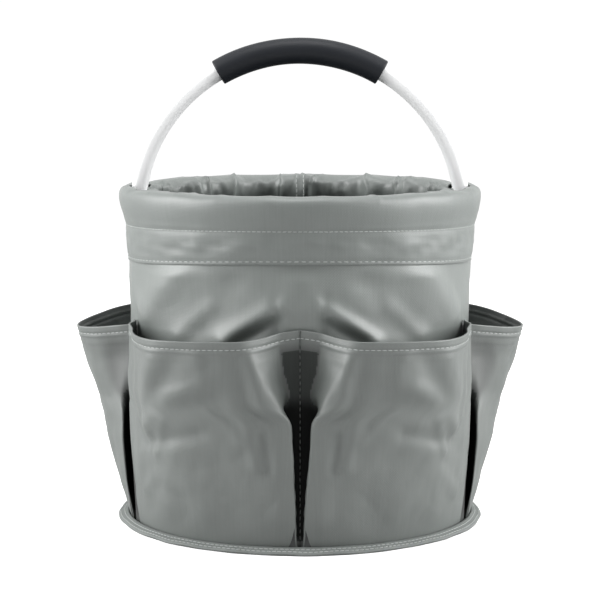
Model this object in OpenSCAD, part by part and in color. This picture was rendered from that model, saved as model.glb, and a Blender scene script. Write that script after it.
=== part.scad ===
// Round fabric tool bucket with a ring of outside pockets, a flat hoop sewn
// into its rim band and a swinging tube handle with a foam grip.
// Millimetres. +Z up, the front is -Y, the origin is the centre of the underside.

/* [Bucket] */
// Height of the rim above the floor
bucket_h = 230; // [200:5:260]
// Outer radius of the wall where it stands on the base
wall_base_r = 115; // [112:1:117]
// Thickness of one layer of the coated cloth
cloth_t = 1.2; // [1.0:0.1:1.4]

/* [Rim band] */
// Outer radius of the band round the hoop
band_r = 124.5; // [124.5:0.5:127]
// How far the band reaches down the wall from the rim
band_drop = 42; // [38:1:50]
// Radial width of the loose channel that holds the hoop and the handle's feet
channel_w = 23.5; // [23:0.5:25]
// Half the angle of each handle slot, seen from the axis
slot_half_angle = 27; // [26:1:34]

/* [Base] */
// Outer radius of the bound seam round the base
brim_r = 127; // [125:0.5:132]
// Thickness of the stiffening board
board_t = 2.5; // [1.5:0.5:4]

/* [Pockets] */
// Height of a pocket's lip above the floor
pocket_h = 140; // [110:5:150]
// How far a pocket's lip stands out from the wall
pocket_bulge = 37; // [20:1:45]
// How far the front pockets' fullness leans to the middle, as a share of half a pocket
front_lean = 0.2; // [0:0.05:0.4]
// How far the side pockets' fullness leans to the front, as a share of half a pocket
side_lean = 0.3; // [0:0.05:0.4]

/* [Hoop] */
// Height of the flat bar
hoop_h = 16; // [14:0.5:16]
// Thickness of the flat bar
hoop_t = 2.6; // [2.0:0.1:2.6]

/* [Handle] */
// Radius of the tube's centreline
handle_r = 112; // [111.5:0.1:112.1]
// Width of the tube, in the plane of the handle
tube_w = 11; // [10:0.5:11]
// Depth of the tube, front to back
tube_d = 10; // [8:0.5:10]
// Wall of the tube
tube_wall = 1.2; // [1.0:0.1:1.5]
// Radius of the foam grip
grip_r = 9; // [8:0.5:11]
// Angle of handle that the grip covers
grip_angle = 60; // [40:5:80]
// Radius of the pivot rivets
rivet_r = 2.4; // [2.0:0.1:2.6]

/* [Hidden] */
$fn = 96;

gap = 0.3;                              // air between layers of cloth
running = 0.05;                         // radial clearance of a pin in its hole

// Stack of the base, from the floor up
board_z = cloth_t + gap;
lining_z = board_z + board_t + gap;
lining_t = 0.8;
wall_z = cloth_t + gap;

// The wall's outer radius at points up its height
wall_profile = [
    [wall_z, wall_base_r], [bucket_h - 87, wall_base_r + 1.4], [bucket_h - 65, wall_base_r + 1.9],
    [bucket_h - band_drop, wall_base_r + 3.3], [bucket_h - 24, wall_base_r + 4.2]
];
wall_top_r = wall_base_r + 4.2;
wall_skirt_r = wall_base_r + 3.3;

// Rim band: an inverted U whose head is the channel
skirt_z = bucket_h - band_drop;
inner_skirt_z = skirt_z - 2;
channel_in_r = band_r - channel_w;

// Pockets
pocket_count = 5;
pocket_step = 360 / pocket_count;
pocket_foot_z = 1.6;
pocket_foot_out = 2.4;                  // room for the folded pleats at the foot
seam_angle = 0.4;                       // half the angle left free at each seam
pocket_columns = 36;
pocket_rows = 10;

// Hoop
hoop_out_r = band_r - 3.6;
hoop_in_r = hoop_out_r - hoop_t;
hoop_z = bucket_h - 18.5;
hoop_mid_z = hoop_z + hoop_h / 2;
hoop_joint_gap = 1;
joiner_t = 1.5;
joiner_angle = 22;
joiner_rivet_r = 1.6;
joiner_rivet_angles = [-8, -4, 4, 8];

// Handle
pivot_z = bucket_h - 10;
handle_z = pivot_z - 10;                // centre of the handle's arc
tube_foot_angle = 0.8;                  // where the arc starts, just under the pivot
plug_top_angle = 9;
leg_centre_x = sqrt(pow(handle_r, 2) - pow(pivot_z - handle_z, 2));
leg_out_x = leg_centre_x + tube_w / 2;
leg_in_x = leg_centre_x - tube_w / 2;
washer_t = 0.5;
washer_out_x = hoop_in_r - 0.15;
rivet_head_r = 4.6;
rivet_head_t = 1.2;
rivet_head_gap = 0.9;                   // the leg curves towards the head above the pivot

// Outer radius of the wall at height z, read off its profile
function wall_r(z) = lookup(z, wall_profile);

// How far a pocket stands out, as a share, at u from -1 to 1 across its width
function pocket_crown(u, lean) = pow(max(0, cos(90 * (u - lean * (1 - u * u)))), 0.7);

// Radius of a pocket's inner face at u across and t up its height
function pocket_r(u, t, lean) =
    wall_r(pocket_foot_z + t * (pocket_h - pocket_foot_z)) + 2 * gap
    + (pocket_foot_out + t * (pocket_bulge - pocket_foot_out)) * pocket_crown(u, lean);

// A point at angle a from the front, radius r and height z
function polar(a, r, z) = [r * sin(a), -r * cos(a), z];

// Rows of points over a pocket's inner face, or its outer one when out is the cloth
function pocket_points(out, lean) = [
    for (j = [0:pocket_rows], i = [0:pocket_columns])
        let (u = 2 * i / pocket_columns - 1, t = j / pocket_rows)
        polar(
            u * (pocket_step / 2 - seam_angle),
            pocket_r(u, t, lean) + out,
            pocket_foot_z + t * (pocket_h - pocket_foot_z)
        )
];

// Faces that close the inner and outer sheets into one shell
function pocket_faces() =
    let (w = pocket_columns + 1, n = w * (pocket_rows + 1), top = w * pocket_rows, last = pocket_columns)
    concat(
        [for (j = [0:pocket_rows - 1], i = [0:last - 1])
            [j * w + i, j * w + i + 1, (j + 1) * w + i + 1, (j + 1) * w + i]],
        [for (j = [0:pocket_rows - 1], i = [0:last - 1])
            [n + (j + 1) * w + i, n + (j + 1) * w + i + 1, n + j * w + i + 1, n + j * w + i]],
        [for (i = [0:last - 1]) [i + 1, i, n + i, n + i + 1]],
        [for (i = [0:last - 1]) [top + i, top + i + 1, n + top + i + 1, n + top + i]],
        [for (j = [0:pocket_rows - 1]) [j * w, (j + 1) * w, n + (j + 1) * w, n + j * w]],
        [for (j = [0:pocket_rows - 1])
            [(j + 1) * w + last, j * w + last, n + j * w + last, n + (j + 1) * w + last]]
    );

// ---- Cloth ----

module body_wall() {
    inner = [for (i = [len(wall_profile) - 1:-1:0]) [wall_profile[i][1] - cloth_t, wall_profile[i][0]]];
    outer = [for (p = wall_profile) [p[1], p[0]]];
    color([0.52, 0.54, 0.53]) rotate_extrude() polygon(concat(outer, inner));
}

// Cross-section of the band: down the outside, over the rim and down the inside
module band_section() {
    difference() {
        polygon([
            [wall_skirt_r + gap + cloth_t, skirt_z],
            [wall_top_r + gap + cloth_t + 0.4, bucket_h - 24.5],
            [band_r - 2.2, bucket_h - 19.5],
            [band_r - 0.8, bucket_h - 15],
            [band_r, bucket_h - 9],
            [band_r, bucket_h - 4],
            [band_r - 1, bucket_h - 1.2],
            [band_r - 3, bucket_h],
            [channel_in_r + 4, bucket_h],
            [channel_in_r + 1.4, bucket_h - 1.2],
            [channel_in_r, bucket_h - 4],
            [channel_in_r, bucket_h - 20],
            [wall_skirt_r - 2 * cloth_t - gap + 0.3, bucket_h - 31],
            [wall_skirt_r - 2 * cloth_t - gap, inner_skirt_z]
        ]);
        polygon([
            [wall_skirt_r + gap, inner_skirt_z - 1],
            [wall_skirt_r + gap, skirt_z],
            [wall_top_r + gap + 0.3, bucket_h - 24],
            [band_r - 2.2 - cloth_t, bucket_h - 18.9],
            [band_r - 0.8 - cloth_t, bucket_h - 14.8],
            [band_r - cloth_t, bucket_h - 8.9],
            [band_r - cloth_t, bucket_h - 4.2],
            [band_r - 1 - cloth_t, bucket_h - 2.1],
            [band_r - 3.4, bucket_h - cloth_t],
            [channel_in_r + 4.2, bucket_h - cloth_t],
            [channel_in_r + 2.2, bucket_h - 2.1],
            [channel_in_r + cloth_t, bucket_h - 4.2],
            [channel_in_r + cloth_t, bucket_h - 19.4],
            [wall_skirt_r - cloth_t - gap + 0.3, bucket_h - 30.4],
            [wall_skirt_r - cloth_t - gap, inner_skirt_z],
            [wall_skirt_r - cloth_t - gap, inner_skirt_z - 1]
        ]);
    }
}

// Slots through the top of the band where the handle's legs come out and swing
module handle_slots() {
    slot_out_r = handle_r + tube_w / 2 + 0.4;
    for (side = [0, 180])
        rotate([0, 0, side - slot_half_angle])
            rotate_extrude(angle = 2 * slot_half_angle)
                translate([channel_in_r - 1, bucket_h - 7.5])
                    square([slot_out_r - channel_in_r + 1, 9]);
}

module rim_band() {
    color([0.55, 0.57, 0.56]) difference() {
        rotate_extrude() band_section();
        handle_slots();
    }
}

// Cloth tape that covers the wall's one upright seam, inside at the back
module back_seam_binding() {
    tape_w = 7;
    in_r = wall_base_r - cloth_t;
    foot_z = lining_z + lining_t + gap;
    color([0.5, 0.52, 0.51])
        translate([tape_w / 2, 0, 0]) rotate([90, 0, -90]) linear_extrude(tape_w)
            polygon([
                [-(in_r - 0.5), foot_z], [-(in_r + 0.8), bucket_h - 87],
                [-(in_r + 1.2), bucket_h - 65], [-(in_r + 0.8), inner_skirt_z],
                [-(in_r + 0.0), inner_skirt_z], [-(in_r + 0.4), bucket_h - 65],
                [-(in_r + 0.0), bucket_h - 87], [-(in_r - 1.3), foot_z]
            ]);
}

// ---- Base ----

module base_panel() {
    color([0.5, 0.52, 0.51]) cylinder(r = brim_r - 6.9, h = cloth_t);
}

module base_board() {
    color([0.2, 0.2, 0.2]) translate([0, 0, board_z]) cylinder(r = wall_base_r - cloth_t - 0.6, h = board_t);
}

module base_lining() {
    color([0.24, 0.25, 0.25]) translate([0, 0, lining_z])
        cylinder(r = wall_base_r - cloth_t - 0.6, h = lining_t);
}

// Tape folded over the seam where the wall, pockets and base panel meet
module base_binding() {
    foot_r = brim_r - 6.3;
    color([0.53, 0.55, 0.54]) rotate_extrude()
        polygon([
            [foot_r, 0], [brim_r - 1, 0], [brim_r, 0.8], [brim_r - 0.2, 2],
            [brim_r - 1.2, 2.7], [foot_r + 0.6, 4.8], [foot_r, 4.6]
        ]);
}

// ---- Pockets ----

// One pocket: a sheet sewn to the wall down both sides and round its foot, open at the lip
module pocket(centre_angle, lean) {
    color([0.53, 0.56, 0.54]) rotate([0, 0, centre_angle])
        polyhedron(
            points = concat(pocket_points(0, lean), pocket_points(cloth_t, lean)),
            faces = pocket_faces(),
            convexity = 6
        );
}

// ---- Hoop in the rim ----

module rim_hoop() {
    joint_half_angle = hoop_joint_gap / (2 * hoop_in_r) * 180 / PI;
    color([0.75, 0.76, 0.77]) difference() {
        rotate([0, 0, 90 + joint_half_angle]) rotate_extrude(angle = 360 - 2 * joint_half_angle)
            translate([hoop_in_r, hoop_z]) square([hoop_t, hoop_h]);
        for (side = [-1, 1])
            translate([side * (hoop_in_r + hoop_t / 2), 0, pivot_z]) rotate([0, 90, 0])
                cylinder(r = rivet_r + running, h = 4 * hoop_t, center = true);
        for (a = joiner_rivet_angles)
            rotate([0, 0, 90 + a]) translate([hoop_in_r + hoop_t / 2, 0, hoop_mid_z]) rotate([0, 90, 0])
                cylinder(r = joiner_rivet_r + running, h = 3 * hoop_t, center = true);
    }
}

// Curved plate that bridges the hoop's joint, on its inner face at the back
module hoop_joiner() {
    out_r = hoop_in_r - 0.1;
    color([0.6, 0.61, 0.62]) difference() {
        rotate([0, 0, 90 - joiner_angle / 2]) rotate_extrude(angle = joiner_angle)
            translate([out_r - joiner_t, hoop_z + 2]) square([joiner_t, hoop_h - 4]);
        for (a = joiner_rivet_angles)
            rotate([0, 0, 90 + a]) translate([out_r - joiner_t / 2, 0, hoop_mid_z]) rotate([0, 90, 0])
                cylinder(r = joiner_rivet_r + running, h = 3 * joiner_t, center = true);
    }
}

module hoop_joiner_rivets() {
    head_t = 0.8;
    shank_in = hoop_in_r - joiner_t - 0.4;
    shank_out = hoop_out_r + 0.2;
    color([0.72, 0.72, 0.72]) for (a = joiner_rivet_angles)
        rotate([0, 0, 90 + a]) translate([0, 0, hoop_mid_z]) rotate([0, 90, 0]) {
            translate([0, 0, shank_in]) cylinder(r = joiner_rivet_r, h = shank_out - shank_in);
            translate([0, 0, shank_out]) cylinder(r = 2.6, h = head_t);
            translate([0, 0, shank_in - head_t]) cylinder(r = 2.6, h = head_t);
        }
}

// ---- Handle pivots ----

// Rivet through the hoop, the washer and the handle's foot; side is -1 or 1
module pivot_rivet(side) {
    in_x = leg_in_x - rivet_head_gap;
    out_x = hoop_out_r + 0.1;
    color([0.8, 0.8, 0.8]) translate([0, 0, pivot_z]) rotate([0, side * 90, 0]) {
        translate([0, 0, in_x]) cylinder(r = rivet_r, h = out_x - in_x);
        translate([0, 0, out_x]) cylinder(r = rivet_head_r, h = rivet_head_t);
        translate([0, 0, in_x - rivet_head_t]) cylinder(r = rivet_head_r, h = rivet_head_t);
    }
}

module pivot_washer(side) {
    color([0.9, 0.9, 0.88]) translate([side * (washer_out_x - washer_t / 2), 0, pivot_z]) rotate([0, 90, 0])
        difference() {
            cylinder(r = 5, h = washer_t, center = true);
            cylinder(r = rivet_r + running, h = 3 * washer_t, center = true);
        }
}

// ---- Handle ----

// Rectangle with round corners, centred
module round_rect(w, d, r) {
    square([w - 2 * r, d], center = true);
    square([w, d - 2 * r], center = true);
    for (x = [-1, 1], y = [-1, 1]) translate([x * (w / 2 - r), y * (d / 2 - r)]) circle(r = r);
}

// Stretch of the handle's arc from angle a to angle b, with the section given as a child
module handle_sweep(a, b) {
    translate([0, 0, handle_z]) rotate([90, 0, 0]) rotate([0, 0, a])
        rotate_extrude(angle = b - a) translate([handle_r, 0]) children();
}

// Hole for a pivot rivet through one foot of the handle
module foot_bore(side) {
    translate([side * leg_centre_x, 0, pivot_z]) rotate([0, 90, 0])
        cylinder(r = rivet_r + running, h = 2 * tube_w, center = true);
}

module handle_tube() {
    color([0.83, 0.84, 0.84]) difference() {
        handle_sweep(tube_foot_angle, 180 - tube_foot_angle) round_rect(tube_w, tube_d, 3.5);
        handle_sweep(tube_foot_angle - 1, 180 - tube_foot_angle + 1)
            round_rect(tube_w - 2 * tube_wall, tube_d - 2 * tube_wall, 3.5 - tube_wall);
        for (side = [-1, 1]) foot_bore(side);
    }
}

module handle_grip() {
    color([0.1, 0.11, 0.13]) difference() {
        handle_sweep(90 - grip_angle / 2, 90 + grip_angle / 2) circle(r = grip_r);
        handle_sweep(89 - grip_angle / 2, 91 + grip_angle / 2)
            round_rect(tube_w + 2 * running, tube_d + 2 * running, 3.5 + running);
    }
}

// Nylon plug that fills the tube's foot so that the rivet can't crush it
module tube_plug(side) {
    fit = tube_wall + running;
    color([0.15, 0.15, 0.16]) difference() {
        mirror([side < 0 ? 1 : 0, 0, 0]) handle_sweep(tube_foot_angle, plug_top_angle)
            round_rect(tube_w - 2 * fit, tube_d - 2 * fit, 3.5 - fit);
        foot_bore(side);
    }
}

body_wall();
rim_band();
back_seam_binding();
base_panel();
base_board();
base_lining();
base_binding();
pocket(-pocket_step / 2, front_lean);  // pocket_front_left
pocket(pocket_step / 2, -front_lean);  // pocket_front_right
pocket(-1.5 * pocket_step, side_lean);  // pocket_side_left
pocket(1.5 * pocket_step, -side_lean);  // pocket_side_right
pocket(2.5 * pocket_step, 0);  // pocket_back
rim_hoop();
hoop_joiner();
hoop_joiner_rivets();
pivot_rivet(-1);  // pivot_rivet_left
pivot_rivet(1);  // pivot_rivet_right
pivot_washer(-1);  // pivot_washer_left
pivot_washer(1);  // pivot_washer_right
handle_tube();
handle_grip();
tube_plug(-1);  // tube_plug_left
tube_plug(1);  // tube_plug_right
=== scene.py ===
# %% [markdown]
# # A fabric tool bucket, sewn in code
# A round bucket of woven grey cloth stands on a bound base. A ring of bellows pockets is sewn round it, a flat hoop
# in a loose channel holds its mouth open, and a bent tube handle with a foam grip swings on two rivets.
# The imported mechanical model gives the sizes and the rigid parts. This script adds the cloth, the thread, the foam
# and every finish. All lengths below are in millimetres until a mesh is made, because a sewing pattern is.

# %% Load the frame
import math

import bmesh
import bpy
import numpy as np
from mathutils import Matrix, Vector


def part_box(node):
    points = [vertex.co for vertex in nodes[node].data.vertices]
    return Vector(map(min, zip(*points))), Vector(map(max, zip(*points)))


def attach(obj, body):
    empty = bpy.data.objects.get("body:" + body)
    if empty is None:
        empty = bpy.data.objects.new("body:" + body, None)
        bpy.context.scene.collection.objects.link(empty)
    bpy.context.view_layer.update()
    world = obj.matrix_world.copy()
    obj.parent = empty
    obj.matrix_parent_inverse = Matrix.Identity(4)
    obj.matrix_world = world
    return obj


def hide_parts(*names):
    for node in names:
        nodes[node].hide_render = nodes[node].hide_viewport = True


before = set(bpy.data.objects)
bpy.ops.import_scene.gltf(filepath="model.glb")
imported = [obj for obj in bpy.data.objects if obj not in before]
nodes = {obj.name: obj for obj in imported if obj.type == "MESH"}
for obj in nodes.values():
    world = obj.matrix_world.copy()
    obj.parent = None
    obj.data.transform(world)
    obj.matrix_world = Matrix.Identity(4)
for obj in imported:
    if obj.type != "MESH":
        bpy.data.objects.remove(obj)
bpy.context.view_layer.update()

# %% [markdown]
# ## The sizes the cloth is cut to
# The rim's height and radius are read off the mechanical model, and the wall's heights are counted down from the rim;
# the other sizes here are given.
# Angles are measured from the front of the bucket, positive towards its right-hand side.

# %% Sizes, some read off the model
def mm_box(node):
    """A node's lowest and highest corners in millimetres."""
    low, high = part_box(node)
    return np.array(low) * 1000, np.array(high) * 1000


rim_z = mm_box("rim_band")[1][2]
band_r = mm_box("rim_band")[1][0]
CLOTH_T = 1.2         # thickness of the outer cloth
WALL_R = 117          # the wall's mean radius, which turns degrees into millimetres of cloth
SEAM_R = 116.2        # the radius that a pocket's stretch of wall is measured on
POCKET_STEP = 72.0    # degrees of wall that each of the five pockets covers
WALL_HEIGHTS = [1.5, rim_z - 87, rim_z - 65, rim_z - 54, rim_z - 42, rim_z - 24]
WALL_RADII = [115.0, 116.2, 116.8, 117.3, 117.6, 118.9]
print(f"rim at {rim_z:.1f}, band radius {band_r:.1f}, each pocket covers {math.radians(POCKET_STEP) * SEAM_R:.0f} mm")


def wall_radius(z):
    """Outer radius of the bucket's wall at height z."""
    return np.interp(z, WALL_HEIGHTS, WALL_RADII)


def around(angle, radius, z):
    """Points in millimetres at an angle in degrees from the front, a radius and a height."""
    a = np.radians(angle)
    return np.stack(np.broadcast_arrays(radius * np.sin(a), -radius * np.cos(a), z), axis=-1)

# %% Small curves that the cloth's shapes are built from
def ease(x, low, high):
    """0 below low, 1 above high, and a smooth step between."""
    t = np.clip((np.asarray(x, float) - low) / (high - low), 0, 1)
    return t * t * (3 - 2 * t)


def hump(x, rise, full, fall, gone):
    """Rises from rise to full, and falls away again from fall to gone."""
    return ease(x, rise, full) * (1 - ease(x, fall, gone))


def bell(x, width):
    """1 where x is 0, and fading to nothing about two widths away."""
    return np.exp(-((x / width) ** 2))


print(f"half way up a step: {ease(0.5, 0, 1):.2f}; a bell one width out: {bell(1, 1):.2f}")


def length_along(points):
    """The distance along a run of flat points at each of them."""
    return np.concatenate([[0], np.cumsum(np.hypot(*np.diff(points, axis=0).T))])


def resampled(points, at, along=None):
    """The flat points at the given distances along a run."""
    along = length_along(points) if along is None else along
    return np.stack([np.interp(at, along, points[:, k]) for k in (0, 1)], axis=1)

# %% [markdown]
# ## Helpers for objects and for node trees
# Every finish below is a tree of nodes. A few short functions add a node and fill in its inputs in one line, so that
# a tree can be read in the order in which its values flow.

# %% Helpers for objects and for node trees
def put(name, data):
    """A new object in the scene, at the origin."""
    piece = bpy.data.objects.new(name, data)
    bpy.context.scene.collection.objects.link(piece)
    return piece


def new_material(name):
    """A material with its tree and its one shader."""
    material = bpy.data.materials.new(name)
    material.use_nodes = True
    tree = material.node_tree
    return material, tree, tree.nodes["Principled BSDF"]


def add(tree, kind, inputs=None, **settings):
    """Adds a node; inputs maps socket names or numbers to values or to sockets to link from."""
    node = tree.nodes.new(kind)
    for key, value in settings.items():
        setattr(node, key, value)
    for key, value in (inputs or {}).items():
        if isinstance(value, bpy.types.NodeSocket):
            tree.links.new(value, node.inputs[key])
        else:
            node.inputs[key].default_value = value
    return node


def maths(tree, operation, *values):
    """One step of arithmetic; gives its result."""
    return add(tree, "ShaderNodeMath", dict(enumerate(values)), operation=operation).outputs[0]


def scaled(tree, vector, factor):
    """A colour or a vector times a factor."""
    return add(tree, "ShaderNodeVectorMath", {0: vector, "Scale": factor}, operation="SCALE").outputs[0]


def between(tree, value, low, high):
    """A value from 0 to 1 stretched to run from low to high."""
    return add(tree, "ShaderNodeMapRange", {0: value, 3: low, 4: high}).outputs[0]


def noise(tree, place, scale, detail, roughness=0.5):
    """Cloudy values from 0 to 1 at a place."""
    inputs = {"Vector": place, "Scale": scale, "Detail": detail, "Roughness": roughness}
    return add(tree, "ShaderNodeTexNoise", inputs).outputs[0]


def raise_surface(tree, shader, height, strength, distance):
    """Puts a bump of the given height on a shader."""
    bump = add(tree, "ShaderNodeBump", {"Height": height, "Strength": strength, "Distance": distance})
    tree.links.new(bump.outputs[0], shader.inputs["Normal"])

# %% [markdown]
# ## Camera, floor and light
# The camera looks slightly down at the front from about a metre and a half. The light is plain: a big soft panel on
# each side, because cloth shows its folds best in light that grazes it, a weaker one overhead, and a white room that
# is darker behind the camera. A white floor would throw so much light up that the folds wash out. So the floor is
# white only to the camera, and a middle grey to the light that bounces off it: its Light Path node tells them apart.

# %% Camera
LENS = 121.13
EYE = (0.0, -1.391, 0.3224)
TILT_DOWN = 7.054
camera = put("camera", bpy.data.cameras.new("camera"))
camera.data.lens = LENS
camera.data.sensor_width = 36.0
camera.location = EYE
camera.rotation_euler = (math.radians(90 - TILT_DOWN), 0.0, 0.0)
bpy.context.scene.camera = camera
bpy.context.scene.view_settings.view_transform = "Standard"
print(f"camera {-EYE[1]:.2f} m in front, {EYE[2]:.2f} m high")

# %% Floor
FLOOR_R = 1.5
FLOOR_SIDES = 64


def plain_floor():
    """A big pale disc of floor, flat on the ground."""
    mesh = bpy.data.meshes.new("floor")
    turns = np.linspace(0, 2 * math.pi, FLOOR_SIDES, endpoint=False)
    ring = [(FLOOR_R * math.cos(a), FLOOR_R * math.sin(a), 0) for a in turns]
    mesh.from_pydata(ring, [], [list(range(FLOOR_SIDES))])
    floor = put("floor", mesh)
    paint, tree, shader = new_material("pale_floor")
    seen = add(tree, "ShaderNodeLightPath").outputs["Is Camera Ray"]
    tree.links.new(between(tree, seen, 0.5, 0.97), shader.inputs["Base Color"])
    tree.links.new(between(tree, seen, 0.0, 0.5), shader.inputs["Emission Strength"])
    shader.inputs["Emission Color"].default_value = (1, 1, 1, 1)
    shader.inputs["Roughness"].default_value = 0.9
    mesh.materials.append(paint)


plain_floor()
print(f"floor {2 * FLOOR_R:.0f} m across")

# %% Lights
def soft_panel(name, place, target, width, height, watts):
    """A rectangular area light at place that faces target."""
    light = bpy.data.lights.new(name, "AREA")
    light.shape = "RECTANGLE"
    light.size, light.size_y, light.energy = width, height, watts
    panel = put(name, light)
    panel.location = place
    panel.rotation_euler = (Vector(target) - Vector(place)).to_track_quat("-Z", "Y").to_euler()


def white_room(behind, front):
    """A room that is bright white behind the bucket and darker behind the camera."""
    room = bpy.data.worlds.new("white_room")
    room.use_nodes = True
    tree = room.node_tree
    background = tree.nodes["Background"]
    background.inputs["Color"].default_value = (1, 1, 1, 1)
    place = add(tree, "ShaderNodeTexCoord").outputs["Generated"]
    depth = add(tree, "ShaderNodeSeparateXYZ", {0: place}).outputs["Y"]
    fade = add(
        tree, "ShaderNodeMapRange", {0: depth, 1: -0.35, 2: 0.75, 3: front, 4: behind},
        interpolation_type="SMOOTHSTEP",
    )
    tree.links.new(fade.outputs[0], background.inputs["Strength"])
    bpy.context.scene.world = room


# Each panel: where it stands, what it faces, its width and height in metres, and its watts
PANELS = {
    "left_panel": ((-1.4, -0.2, 0.72), (0, 0, 0.15), 1.0, 1.3, 29),
    "right_panel": ((1.4, -0.2, 0.72), (0, 0, 0.15), 1.0, 1.3, 29),
    "top_panel": ((0, -0.2, 1.5), (0, 0, 0.1), 0.7, 0.7, 8),
}
for name, panel in PANELS.items():
    soft_panel(name, *panel)
white_room(1.03, 0.4)
print("lights:", list(PANELS))

# %% [markdown]
# ## Shader groups that the cloths share
# The cloth is plain-woven from thick yarn, so two things make its look: the grid of yarns that cross over and under,
# and slow changes of tone where the cloth was dyed, pressed and handled. Each is a node group with named inputs,
# built once, so that every cloth here gets its own values of the same effect. They read the piece's own UV map,
# which is in metres along the yarns, so the weave follows the cloth round every fold.

# %% The weave: yarns that cross over and under
def group(name, inputs, outputs):
    """An empty shader group with named sockets, each given as name: (kind, default)."""
    tree = bpy.data.node_groups.new(name, "ShaderNodeTree")
    for label, (kind, default) in inputs.items():
        socket = tree.interface.new_socket(label, in_out="INPUT", socket_type=kind)
        if default is not None:
            socket.default_value = default
    for label, kind in outputs.items():
        tree.interface.new_socket(label, in_out="OUTPUT", socket_type=kind)
    return tree, tree.nodes.new("NodeGroupInput"), tree.nodes.new("NodeGroupOutput")


def plain_weave_group():
    """Rounded yarns, warp over weft and weft over warp in turn, with long streaks of tone along them."""
    tree, given, out = group(
        "plain_weave",
        {
            "UV": ("NodeSocketVector", None),
            "Yarn Pitch": ("NodeSocketFloat", 0.0012),
            "Yarn Streaks": ("NodeSocketFloat", 0.12),
        },
        {"Height": "NodeSocketFloat", "Tone": "NodeSocketFloat"},
    )
    per_yarn = maths(tree, "DIVIDE", 1.0, given.outputs["Yarn Pitch"])
    uv = scaled(tree, given.outputs["UV"], per_yarn)
    split = add(tree, "ShaderNodeSeparateXYZ", {0: uv})
    waves = [maths(tree, "SINE", maths(tree, "MULTIPLY", split.outputs[axis], math.pi)) for axis in ("X", "Y")]
    over = maths(tree, "GREATER_THAN", maths(tree, "MULTIPLY", *waves), 0.0)
    warp, weft = [maths(tree, "ABSOLUTE", wave) for wave in waves]
    height = add(tree, "ShaderNodeMix", {0: over, 2: maths(tree, "MULTIPLY", weft, 0.7), 3: warp}).outputs[0]
    tree.links.new(height, out.inputs["Height"])
    slow = maths(tree, "MULTIPLY", split.outputs["Y"], 0.035)
    stretched = add(tree, "ShaderNodeCombineXYZ", {0: split.outputs["X"], 1: slow})
    streak = maths(tree, "SUBTRACT", noise(tree, stretched.outputs[0], 0.55, 2.0, 0.7), 0.5)
    pull = maths(tree, "MULTIPLY", streak, given.outputs["Yarn Streaks"])
    tree.links.new(maths(tree, "ADD", between(tree, height, 0.96, 1.02), pull), out.inputs["Tone"])
    return tree


weave_group = plain_weave_group()
print("group:", weave_group.name)

# %% Handling: slow changes of tone, and a fine rubbed nap
def handling_group():
    """Patches a few centimetres across where the cloth was pressed and handled, and a nap for the bump."""
    tree, given, out = group(
        "handled_tone",
        {
            "Position": ("NodeSocketVector", None),
            "Patch Size": ("NodeSocketFloat", 0.04),
            "Patch Depth": ("NodeSocketFloat", 0.1),
        },
        {"Tone": "NodeSocketFloat", "Nap": "NodeSocketFloat"},
    )
    per_patch = maths(tree, "DIVIDE", 1.0, given.outputs["Patch Size"])
    patches = maths(tree, "SUBTRACT", noise(tree, given.outputs["Position"], per_patch, 4.0, 0.55), 0.5)
    deep = maths(tree, "MULTIPLY", patches, given.outputs["Patch Depth"])
    tree.links.new(maths(tree, "ADD", deep, 1.0), out.inputs["Tone"])
    tree.links.new(noise(tree, given.outputs["Position"], 900.0, 2.0, 0.6), out.inputs["Nap"])
    return tree


handling = handling_group()
print("group:", handling.name)

# %% [markdown]
# ## The finishes
# One function mixes a cloth from the two groups. The outside is the dyed weave. The back of the same cloth is coated
# to keep water out, so it is smoother and shows the yarns less, and it is much darker. Deep inside a fold hardly any
# light arrives, so the shade there is painted: each cloth can carry a mark for how far a point lies inside a fold, and
# its colour is darkened with it. The cloth inside the pleats is a darker copy with little gloss, which is painted shade
# too, because a shine down there would give the depth away. The pockets' cloth is the wall's cloth made darker, also as
# painted shade.

# %% Cloth finishes
def cloth(name, colour, roughness, streaks=0.2, bump=0.22, patches=0.12, gloss=0.85, pitch=0.0009):
    """A woven cloth: base colour times the weave's tone, the handling tone and painted shade in folds; yarns in the
    bump.
    """
    material, tree, shader = new_material(name)
    uv = add(tree, "ShaderNodeUVMap", uv_map="cloth").outputs[0]
    place = add(tree, "ShaderNodeTexCoord").outputs["Object"]
    yarns = {"UV": uv, "Yarn Pitch": pitch, "Yarn Streaks": streaks}
    weave = add(tree, "ShaderNodeGroup", yarns, node_tree=weave_group)
    handled = {"Position": place, "Patch Size": 0.045, "Patch Depth": patches}
    worn = add(tree, "ShaderNodeGroup", handled, node_tree=handling)
    tone = maths(tree, "MULTIPLY", weave.outputs["Tone"], worn.outputs["Tone"])
    # Painted shade: the colour is darkened where the fold mark says a point lies deep in a fold
    fold = add(tree, "ShaderNodeAttribute", attribute_name="in_fold").outputs["Fac"]
    shaded_tone = maths(tree, "MULTIPLY", tone, between(tree, fold, 1.0, 0.05))
    tree.links.new(scaled(tree, colour, shaded_tone), shader.inputs["Base Color"])
    shader.inputs["Roughness"].default_value = roughness
    shader.inputs["Specular IOR Level"].default_value = gloss
    nap = maths(tree, "MULTIPLY", worn.outputs["Nap"], 0.35)
    raise_surface(tree, shader, maths(tree, "ADD", weave.outputs["Height"], nap), bump, 0.0003)
    return material


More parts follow.
